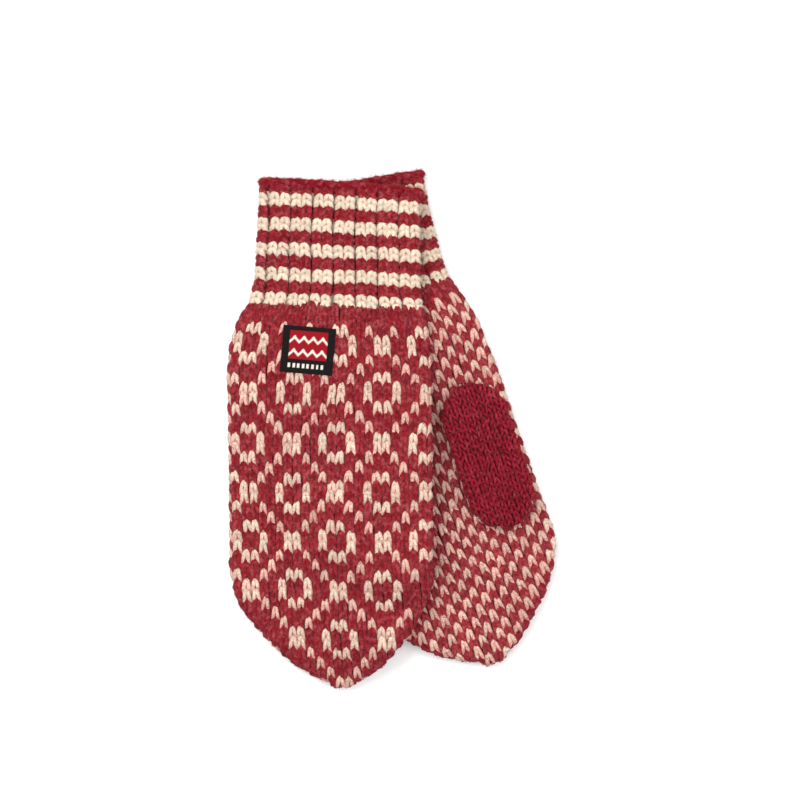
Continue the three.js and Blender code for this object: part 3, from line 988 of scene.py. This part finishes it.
def rim_roll(name, tube):
    """The cast-on edge: a lumpy cord of yarn round the rim."""
    steps, sides = 240, 10
    shares = np.arange(steps) / steps
    s, inset = ROLL_RADIUS - ROLL_OVERHANG - CUFF_LENGTH, SEAT
    centre = tube.ring(shares, s, inset)
    out = tube.ring(shares, s, inset - 1.0) - centre
    up = tube.ring(shares, s - 1.0, inset) - centre
    around = 2 * math.pi * shares
    lump = 1.0 + 0.09 * np.sin(31 * around + 0.7) + 0.07 * np.sin(47 * around + 2.1)
    lump += 0.06 * np.sin(13 * around)
    vertices, low = [], []
    for k in range(sides):
        turn = 2 * math.pi * k / sides
        ring = centre + ROLL_RADIUS * lump[:, None] * (out * math.sin(turn) + up * math.cos(turn))
        vertices.extend(to_row(ring))
        # low is held at 0.6 of a stitch's, so the painted shade on the roll's underside is fainter.
        low.extend([0.6 * (1 - math.sin(turn)) / 2] * steps)
    faces = []
    for k in range(sides):
        for j in range(steps):
            a, b = k * steps, (k + 1) % sides * steps
            faces.append((a + j, a + (j + 1) % steps, b + (j + 1) % steps, b + j))
    mesh = new_mesh(name, vertices, faces)
    face_outwards(mesh)
    add_attribute(mesh, "low", "FLOAT", low)
    add_attribute(mesh, "tone", "FLOAT", [0.5] * len(vertices))
    mesh.shade_smooth()
    return mesh


def fibre_mesh(name):
    """One wool fibre: a needle from just inside the yarn to a fine tip."""
    vertices = []
    for k in range(3):
        turn = 2 * math.pi * k / 3
        vertices.append((FIBRE_RADIUS * math.cos(turn), FIBRE_RADIUS * math.sin(turn), -0.2))
    vertices.append((0.0, 0.0, FIBRE_LENGTH))
    faces = [(2, 1, 0), (0, 1, 3), (1, 2, 3), (2, 0, 3)]
    return new_mesh(name, [tuple(MM * c for c in v) for v in vertices], faces)


def fuzz_of(piece, material, seed, density):
    """Loose fibres on a knitted piece, as a piece of its own."""
    fibre = new_object("fibre", fibre_mesh("fibre"))
    holder = new_object("fuzz_holder", piece.data.copy())
    inputs = {"Fibre": fibre, "Density": density, "Seed": seed, "Material": material}
    name = piece.name.replace("_stitches", "") + "_fuzz"
    fuzz = evaluated(name, holder, tree_named("scatter_fibres", fuzz_tree), inputs)
    discard(fibre, holder)
    return fuzz


def settle(piece, mitten, part, nodes, bend=None):
    """Attaches a piece to its mitten's part and hides the CAD nodes it replaces. bend is (start, end) on
    the hand; only whether it is given is read, and then the piece's transform is baked instead of attaching
    it.
    """
    if bend:
        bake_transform(piece)
    else:
        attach(piece, mitten["name"] + "_" + part)
    if nodes:
        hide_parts(*nodes)


def settle_woolly(piece, fluff, seed, density, *where):
    """Settles a knitted piece and the loose fibres on it. where: mitten, part, slot and bend; the slot is
    not used.
    """
    mitten, part, slot_name, bend = where
    settle(piece, mitten, part, (), bend)
    settle(fuzz_of(piece, fluff, seed, density), mitten, part, (), bend)


def row_point(mitten, u, s, z):
    x, y = plan(mitten, u, s)
    return tuple(to_row([(x, y, z)])[0])


class MITTENS_OT_hands(bpy.types.Operator):
    """Knit the hands: rings and blocks on the back, a one-stitch check on the palm"""

    bl_idname = "mittens.hands"
    bl_label = "Knit Hands"

    def execute(self, context):
        yarn, stitches = context.scene.mitten_yarn, context.scene.mitten_stitches
        # The fourth value of each yarn_material is its painted shade on the stitches' undersides.
        red = yarn_material("red_wool", yarn.red, yarn.red_deep, yarn.red_halo,
                            (0.25, 0.25, 0.20), 0.60, 0.50)
        red_fuzz = yarn_material("red_fuzz", yarn.red, yarn.red, yarn.red_halo, (0.0, 0.0, 0.0), 0.0, 0.9)
        cream = yarn_material("cream_wool", yarn.cream, yarn.cream_deep, yarn.cream_halo,
                              (0.55, 0.65, 0.45), 0.1, 0.15)
        lining = fabric_material("red_fabric", yarn.red)
        for seed, mitten in enumerate(MITTENS):
            tube = Tube(mitten)
            side = mitten["name"]
            rows = hand_stitches(tube)
            surface = two_sided_surface(side + "_hand_surface", tube, HAND_LENGTH / HAND_ROWS,
                                        np.arange(-1.5, HAND_ROWS + 1.51, 0.5), ((-15, 15), (8, 38)))
            for label, material, wanted in (("red", red, False), ("cream", cream, True)):
                chosen = [row for row in rows if row[3] == wanted]
                piece = knit(f"{side}_hand_{label}_stitches", chosen, surface, material,
                             20 + seed, stitches.hand_width)
                settle_woolly(piece, red_fuzz, 50 + seed, stitches.fuzz,
                              mitten, "hand", "back_wool", None)
            discard(surface)
            stations = [0.0, 6.0, 12.0, 20.0, 34.0, 60.0, 90.0, 120.0, 142.0, 155.0, 166.0, 176.0,
                        184.0, 190.0, 193.9, 196.0, 198.0]
            mesh = tube_shell(side + "_hand_fabric", tube, stations)
            mesh.materials.append(lining)
            piece = new_object(side + "_hand_fabric", mesh)
            settle(piece, mitten, "hand", (side + "_back_panel", side + "_palm_panel"))
        return {"FINISHED"}


class MITTENS_OT_cuffs(bpy.types.Operator):
    """Knit the striped cuffs in two-by-one rib"""

    bl_idname = "mittens.cuffs"
    bl_label = "Knit Cuffs"

    def execute(self, context):
        yarn, stitches = context.scene.mitten_yarn, context.scene.mitten_stitches
        lining = fabric_material("striped_fabric", yarn.red, yarn.cream_deep)
        clean = yarn_material("rib_cream_wool", yarn.cream, yarn.cream_deep, yarn.cream_halo,
                              (0.35, 0.40, 0.15), 0.1, 0.08)
        yarns = ((bpy.data.materials["red_wool"], False), (clean, True))
        fluff = bpy.data.materials["red_fuzz"]
        for seed, mitten in enumerate(MITTENS):
            tube = Cuff(mitten)
            side = mitten["name"]
            surface = cuff_surface(mitten, tube)
            top = THICKNESS if mitten["palm_up"] else 2 * THICKNESS + LAYER_GAP
            bend = (row_point(mitten, 0, 1, top), row_point(mitten, 0, -20, top))
            for material, wanted in yarns:
                rows = []
                for row in range(CUFF_ROWS):
                    if cuff_cream(row) != wanted:
                        continue
                    for rib in range(CUFF_RIBS):
                        for offset in (-0.205, 0.205):
                            rows.append((rib + offset, row, False, wanted, 0.0))
                label = "cream" if wanted else "red"
                piece = knit(f"{side}_cuff_{label}_stitches", rows, surface, material, 30 + seed,
                             stitches.cuff_width, wide=0.43, plump=0.9)
                settle_woolly(piece, material if wanted else fluff, 60 + seed, stitches.fuzz,
                              mitten, "cuff", "cuff_wool", bend)
            discard(surface)
            edge = new_object(side + "_cuff_edge", rim_roll(side + "_cuff_edge", tube))
            edge.data.materials.append(yarns[0][0])
            settle_woolly(edge, fluff, 65 + seed, 1.5 * stitches.fuzz,
                          mitten, "cuff", "cuff_wool", bend)
            mesh = cuff_shell(side + "_cuff_fabric", tube)
            mesh.materials.append(lining)
            piece = new_object(side + "_cuff_fabric", mesh)
            settle(piece, mitten, "cuff", (side + "_cuff",), bend)
        return {"FINISHED"}


def cuff_shell(name, tube):
    """The wall of the cuff, furrowed outside and in, with its stripes as an attribute."""
    columns = 10 * CUFF_RIBS
    shares = np.arange(columns) / columns
    pitch = CUFF_LENGTH / CUFF_ROWS
    stations = [-CUFF_LENGTH + pitch * 0.5 * k for k in range(2 * CUFF_ROWS + 1)]
    vertices, faces, stripes = [], [], []
    loops = [(s, SEAT) for s in stations] + [(s, WALL + 0.4) for s in reversed(stations)]
    for s, inset in loops:
        vertices += list(to_row(cuff_ring(tube, shares, s, inset)))
        row = min(int((s + CUFF_LENGTH) / pitch), CUFF_ROWS - 1)
        stripes += [1.0 if cuff_cream(row) else 0.0] * columns
    for i in range(len(loops)):
        join_rings(faces, i * columns, (i + 1) % len(loops) * columns, columns)
    mesh = new_mesh(name, vertices, faces)
    add_attribute(mesh, "stripe", "FLOAT", stripes)
    mesh.shade_smooth()
    return mesh


class MITTENS_OT_thumbs(bpy.types.Operator):
    """Knit the plain thumbs"""

    bl_idname = "mittens.thumbs"
    bl_label = "Knit Thumbs"

    def execute(self, context):
        yarn, stitches = context.scene.mitten_yarn, context.scene.mitten_stitches
        # 0.95: a strong painted shade on the undersides of the thumb stitches.
        wool = yarn_material("thumb_wool", yarn.thumb, yarn.thumb_deep, yarn.red_halo,
                             (0.1, 0.0, 0.0), 0.95, 0.25)
        shade = [0.5 * (light + deep) for light, deep in zip(yarn.thumb, yarn.thumb_deep)]
        lining = fabric_material("thumb_fabric", shade)
        pitch = THUMB_LENGTH / THUMB_ROWS
        for seed, mitten in enumerate(MITTENS):
            tube = Thumb(mitten)
            side = mitten["name"]
            surface = two_sided_surface(side + "_thumb_surface", tube, pitch,
                                        np.arange(-1.0, THUMB_ROWS + 1.51, 0.5), ((-8, 8), (2, 16)))
            rows = []
            for row in range(THUMB_ROWS):
                s = (row + ROW_MIDDLE) * pitch
                for k in range(THUMB_COLUMNS):
                    column = k - THUMB_COLUMNS / 2
                    lower = not tube.upper(column, s)
                    if lower and column < 0:
                        column += THUMB_COLUMNS
                    if tube.present(column, s, lower):
                        rows.append((column, row, lower, False, 0.0))
            centre = mitten["thumb_half"] - mitten["thumb_inset"]
            bottom = THICKNESS + LAYER_GAP
            bend = (row_point(mitten, centre, THUMB_START - 1, bottom),
                    row_point(mitten, centre, THUMB_START + 26, bottom))
            piece = knit(f"{side}_thumb_stitches", rows, surface, wool, 40 + seed,
                         stitches.thumb_width, wide=0.97, plump=1.15, thick=0.82,
                         reach=0.84)
            settle_woolly(piece, wool, 70 + seed, 0.12 * stitches.fuzz,
                          mitten, "thumb", "thumb_wool", bend)
            discard(surface)
            stations = list(THUMB_LENGTH / 2 * (1 - np.cos(np.linspace(0.12, math.pi - 0.12, 20))))
            mesh = tube_shell(side + "_thumb_fabric", tube, stations, 48, False)
            mesh.materials.append(lining)
            piece = new_object(side + "_thumb_fabric", mesh)
            settle(piece, mitten, "thumb", (side + "_thumb",), bend)
        return {"FINISHED"}


def label_colour(a, b):
    """Colour of the label at a across and b up, in millimetres from its centre."""
    black, red, cream = linear(26, 24, 24), linear(150, 22, 34), linear(226, 220, 206)
    if abs(a) < 9.8 and -4.9 < b < 10.0:
        wave = abs((a / 4.9 + 20.5) % 1.0 - 0.5) * 2
        for level in (-1.6, 5.2):
            if abs(b - level - 2.6 * (wave - 0.5)) < 0.85:
                return cream
        return red
    if -9.6 < b < -7.2 and abs(a) < 9.8 and (a / 2.45 + 20.0) % 1.0 < 0.5:
        return cream
    return black


class MITTENS_OT_label(bpy.types.Operator):
    """Weave the small label on the back of the upper hand"""

    bl_idname = "mittens.label"
    bl_label = "Weave Label"

    def execute(self, context):
        columns, rows = 84, 76
        across = Vector((math.cos(LABEL_TURN), math.sin(LABEL_TURN)))
        up = Vector((-across.y, across.x))
        vertices, colours, chart = [], [], []
        for layer, lift in enumerate((1.15, 0.25)):
            for i in range(rows + 1):
                for j in range(columns + 1):
                    a = LABEL_WIDTH * (j / columns - 0.5)
                    b = LABEL_HEIGHT * (i / rows - 0.5)
                    edge = min(LABEL_WIDTH / 2 - abs(a), LABEL_HEIGHT / 2 - abs(b))
                    soft = 0.35 * math.exp(-edge / 0.5) * (1 if layer == 0 else 0)
                    x = LABEL_PLACE[0] + a * across.x + b * up.x
                    y = LABEL_PLACE[1] + a * across.y + b * up.y
                    base = lying_height(RIGHT, np.array([x]), np.array([y]))[0]
                    vertices.append((x, y, THICKNESS + base + lift - soft))
                    colours.append(label_colour(a, b))
                    chart.append((j / columns, i / rows))
        wide = columns + 1
        count = wide * (rows + 1)
        faces = []
        for i in range(rows):
            for j in range(columns):
                a = i * wide + j
                faces.append((a, a + 1, a + wide + 1, a + wide))
                faces.append((count + a, count + a + wide, count + a + wide + 1, count + a + 1))
        border = [i for i in range(wide)] + [i * wide + columns for i in range(1, rows + 1)]
        border += [rows * wide + j for j in range(columns - 1, -1, -1)]
        border += [i * wide for i in range(rows - 1, 0, -1)]
        for first, second in zip(border, border[1:] + border[:1]):
            faces.append((second, first, first + count, second + count))
        mesh = new_mesh("right_label_patch", to_row(vertices), faces)
        woven = mesh.color_attributes.new("woven", "FLOAT_COLOR", "POINT")
        woven.data.foreach_set("color", np.asarray(colours, np.float32).ravel())
        add_map(mesh, "label_map", chart)
        mesh.materials.append(label_material("label_cloth"))
        piece = new_object("right_label_patch", mesh)
        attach(piece, "right_hand")
        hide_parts("right_label")
        return {"FINISHED"}


class MITTENS_OT_stage(bpy.types.Operator):
    """Put down the pale floor, the soft lights and the camera above the pair"""

    bl_idname = "mittens.stage"
    bl_label = "Set Stage"

    def execute(self, context):
        scene = context.scene
        size = 3.0
        mesh = new_mesh("floor", [(-size, -size, 0), (size, -size, 0), (size, size, 0), (-size, size, 0)],
                        [(0, 1, 2, 3)])
        mesh.materials.append(plain_material("pale_floor", (0.93, 0.93, 0.93, 1.0), 0.9))
        new_object("floor", mesh)
        low, high = (Vector(corner) for corner in CAD_BOX)
        middle = (low + high) / 2
        lights = (("key", (-0.55, 0.55, 1.25), 0.9, 17.0), ("fill", (0.8, -0.2, 1.1), 1.1, 8.0),
                  ("top", (0.0, 0.0, 1.7), 1.4, 9.0))
        for name, place, width, power in lights:
            data = bpy.data.lights.new(name, "AREA")
            data.size = width
            data.energy = power
            lamp = bpy.data.objects.new(name, data)
            scene.collection.objects.link(lamp)
            lamp.location = middle + Vector(place)
            lamp.rotation_euler = (-Vector(place)).to_track_quat("-Z", "Y").to_euler()
        world = bpy.data.worlds.new("studio")
        scene.world = world
        world.use_nodes = True
        world.node_tree.nodes["Background"].inputs["Color"].default_value = (1.0, 1.0, 1.0, 1.0)
        world.node_tree.nodes["Background"].inputs["Strength"].default_value = 0.62
        camera = bpy.data.objects.new("camera", bpy.data.cameras.new("camera"))
        scene.collection.objects.link(camera)
        camera.data.sensor_width = SENSOR_WIDTH
        camera.data.lens = SENSOR_WIDTH * VIEW_DISTANCE / VIEW_WIDTH
        aim_x, aim_y = AIM[0] + FRAME_SHIFT[0], AIM[1] + FRAME_SHIFT[1]
        camera.location = (aim_x * MM, aim_y * MM, VIEW_DISTANCE + CAMERA_RISE)
        scene.camera = camera
        scene.view_settings.view_transform = "Standard"
        return {"FINISHED"}


class MITTENS_PT_panel(bpy.types.Panel):
    """The mittens' settings and the steps that make them"""

    bl_idname = "MITTENS_PT_panel"
    bl_label = "Mittens"
    bl_space_type = "VIEW_3D"
    bl_region_type = "UI"
    bl_category = "Mittens"

    def draw(self, context):
        for group in (context.scene.mitten_yarn, context.scene.mitten_stitches):
            box = self.layout.box()
            for name in group.__annotations__:
                box.prop(group, name)
        for step in STEPS:
            self.layout.operator(step.bl_idname)


STEPS = (MITTENS_OT_hands, MITTENS_OT_cuffs, MITTENS_OT_thumbs, MITTENS_OT_label, MITTENS_OT_stage)
CLASSES = (MittenYarn, MittenStitches) + STEPS + (MITTENS_PT_panel,)


def register():
    for item in CLASSES:
        bpy.utils.register_class(item)
    bpy.types.Scene.mitten_yarn = bpy.props.PointerProperty(type=MittenYarn)
    bpy.types.Scene.mitten_stitches = bpy.props.PointerProperty(type=MittenStitches)


def unregister():
    del bpy.types.Scene.mitten_stitches
    del bpy.types.Scene.mitten_yarn
    for item in reversed(CLASSES):
        bpy.utils.unregister_class(item)


def main():
    register()
    for step in STEPS:
        area, action = step.bl_idname.split(".")
        getattr(getattr(bpy.ops, area), action)()


if __name__ == "__main__":
    main()
